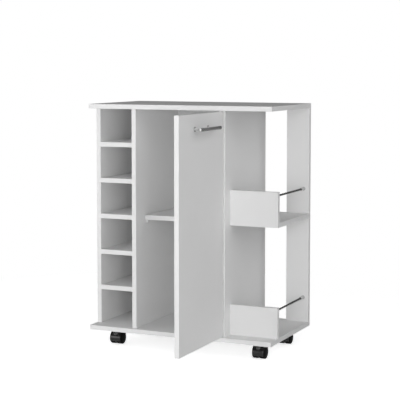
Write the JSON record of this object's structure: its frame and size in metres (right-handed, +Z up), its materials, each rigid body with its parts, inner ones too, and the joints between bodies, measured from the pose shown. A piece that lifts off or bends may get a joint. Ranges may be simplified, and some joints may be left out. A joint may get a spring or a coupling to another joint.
{
  "type": "bar cart",
  "caption": "Bar cart on swivel casters with a bottle rack, a cabinet behind a hinged door and open side trays guarded by round rails.",
  "frame": {"origin": "on the floor, under the middle of the part's box with the door standing open", "axes": "+X to the right as seen from the front, +Y from the front to the back, +Z up"},
  "size_m": [0.64, 0.672, 0.801],
  "materials": {
    "white_board": "white melamine faced board, satin",
    "white_edge_band": "white plastic edge band",
    "white_hardboard": "white lacquered hardboard",
    "beech": "raw beech",
    "chrome": "dark chrome, polished",
    "satin_steel": "dark satin",
    "white_lacquered_steel": "white lacquer on steel",
    "zinc": "zinc plated",
    "white_plastic": "moulded",
    "black_nylon": "moulded, fine grain",
    "black_tread": "moulded, smooth"
  },
  "bodies": {
    "cabinet": {"rack_back_panel": "white_hardboard", "cabinet_back_panel": "white_hardboard", "shelf_pegs": "white_plastic", "dowels": "beech", "connecting_screws": "zinc", "cam_locks": "zinc", "cam_bolts": "zinc", "upper_rail": "chrome", "lower_rail": "chrome", "rail_sockets": "chrome", "hinge_plates": "white_lacquered_steel", "hinge_pins": "zinc", "hinge_washers": "white_plastic", "hinge_plate_screws": "zinc", "front_left_caster_plate": "zinc", "front_right_caster_plate": "zinc", "rear_left_caster_plate": "zinc", "rear_right_caster_plate": "zinc", "caster_screws": "zinc", "top_board": "white_board", "bottom_board": "white_board", "left_side_panel": "white_board", "rack_partition": "white_board", "cabinet_side_panel": "white_board", "rear_upright": "white_board", "side_shelf": "white_board", "upper_tray_front": "white_board", "lower_tray_front": "white_board", "inner_shelf": "white_board", "rack_shelf_1": "white_board", "rack_shelf_2": "white_board", "rack_shelf_3": "white_board", "rack_shelf_4": "white_board", "rack_shelf_5": "white_board", "edge_bands": "white_edge_band"},
    "door": {"hinge_leaves": "white_lacquered_steel", "hinge_leaf_screws": "zinc", "handle_bar": "satin_steel", "handle_posts": "satin_steel", "handle_screws": "zinc", "door_panel": "white_board", "door_edge_bands": "white_edge_band"},
    "front_left_caster": {"front_left_caster_hood": "black_nylon", "front_left_caster_axle": "zinc"},
    "front_left_caster_left_wheel": {"front_left_caster_left_wheel": "black_tread"},
    "front_left_caster_right_wheel": {"front_left_caster_right_wheel": "black_tread"},
    "front_right_caster": {"front_right_caster_hood": "black_nylon", "front_right_caster_axle": "zinc"},
    "front_right_caster_left_wheel": {"front_right_caster_left_wheel": "black_tread"},
    "front_right_caster_right_wheel": {"front_right_caster_right_wheel": "black_tread"},
    "rear_left_caster": {"rear_left_caster_hood": "black_nylon", "rear_left_caster_axle": "zinc"},
    "rear_left_caster_left_wheel": {"rear_left_caster_left_wheel": "black_tread"},
    "rear_left_caster_right_wheel": {"rear_left_caster_right_wheel": "black_tread"},
    "rear_right_caster": {"rear_right_caster_hood": "black_nylon", "rear_right_caster_axle": "zinc"},
    "rear_right_caster_left_wheel": {"rear_right_caster_left_wheel": "black_tread"},
    "rear_right_caster_right_wheel": {"rear_right_caster_right_wheel": "black_tread"}
  },
  "joints": [
    {"name": "door_hinge", "type": "hinge", "parent": "cabinet", "child": "door", "pos_m": [0.148, -0.02, 0.4285], "axis": [0, 0, 1], "range_deg": [-90, 20]},
    {"name": "front_left_swivel", "type": "hinge", "parent": "cabinet", "child": "front_left_caster", "pos_m": [-0.255, 0.041, 0.056], "axis": [0, 0, 1], "continuous": true},
    {"name": "front_left_left_wheel_spin", "type": "hinge", "parent": "front_left_caster", "child": "front_left_caster_left_wheel", "pos_m": [-0.267, 0.0505, 0.0205], "axis": [1, 0, 0], "continuous": true},
    {"name": "front_left_right_wheel_spin", "type": "hinge", "parent": "front_left_caster", "child": "front_left_caster_right_wheel", "pos_m": [-0.243, 0.0505, 0.0205], "axis": [1, 0, 0], "continuous": true},
    {"name": "front_right_swivel", "type": "hinge", "parent": "cabinet", "child": "front_right_caster", "pos_m": [0.255, 0.041, 0.056], "axis": [0, 0, 1], "continuous": true},
    {"name": "front_right_left_wheel_spin", "type": "hinge", "parent": "front_right_caster", "child": "front_right_caster_left_wheel", "pos_m": [0.243, 0.0505, 0.0205], "axis": [1, 0, 0], "continuous": true},
    {"name": "front_right_right_wheel_spin", "type": "hinge", "parent": "front_right_caster", "child": "front_right_caster_right_wheel", "pos_m": [0.267, 0.0505, 0.0205], "axis": [1, 0, 0], "continuous": true},
    {"name": "rear_left_swivel", "type": "hinge", "parent": "cabinet", "child": "rear_left_caster", "pos_m": [-0.255, 0.271, 0.056], "axis": [0, 0, 1], "continuous": true},
    {"name": "rear_left_left_wheel_spin", "type": "hinge", "parent": "rear_left_caster", "child": "rear_left_caster_left_wheel", "pos_m": [-0.267, 0.2805, 0.0205], "axis": [1, 0, 0], "continuous": true},
    {"name": "rear_left_right_wheel_spin", "type": "hinge", "parent": "rear_left_caster", "child": "rear_left_caster_right_wheel", "pos_m": [-0.243, 0.2805, 0.0205], "axis": [1, 0, 0], "continuous": true},
    {"name": "rear_right_swivel", "type": "hinge", "parent": "cabinet", "child": "rear_right_caster", "pos_m": [0.255, 0.271, 0.056], "axis": [0, 0, 1], "continuous": true},
    {"name": "rear_right_left_wheel_spin", "type": "hinge", "parent": "rear_right_caster", "child": "rear_right_caster_left_wheel", "pos_m": [0.243, 0.2805, 0.0205], "axis": [1, 0, 0], "continuous": true},
    {"name": "rear_right_right_wheel_spin", "type": "hinge", "parent": "rear_right_caster", "child": "rear_right_caster_right_wheel", "pos_m": [0.267, 0.2805, 0.0205], "axis": [1, 0, 0], "continuous": true}
  ]
}
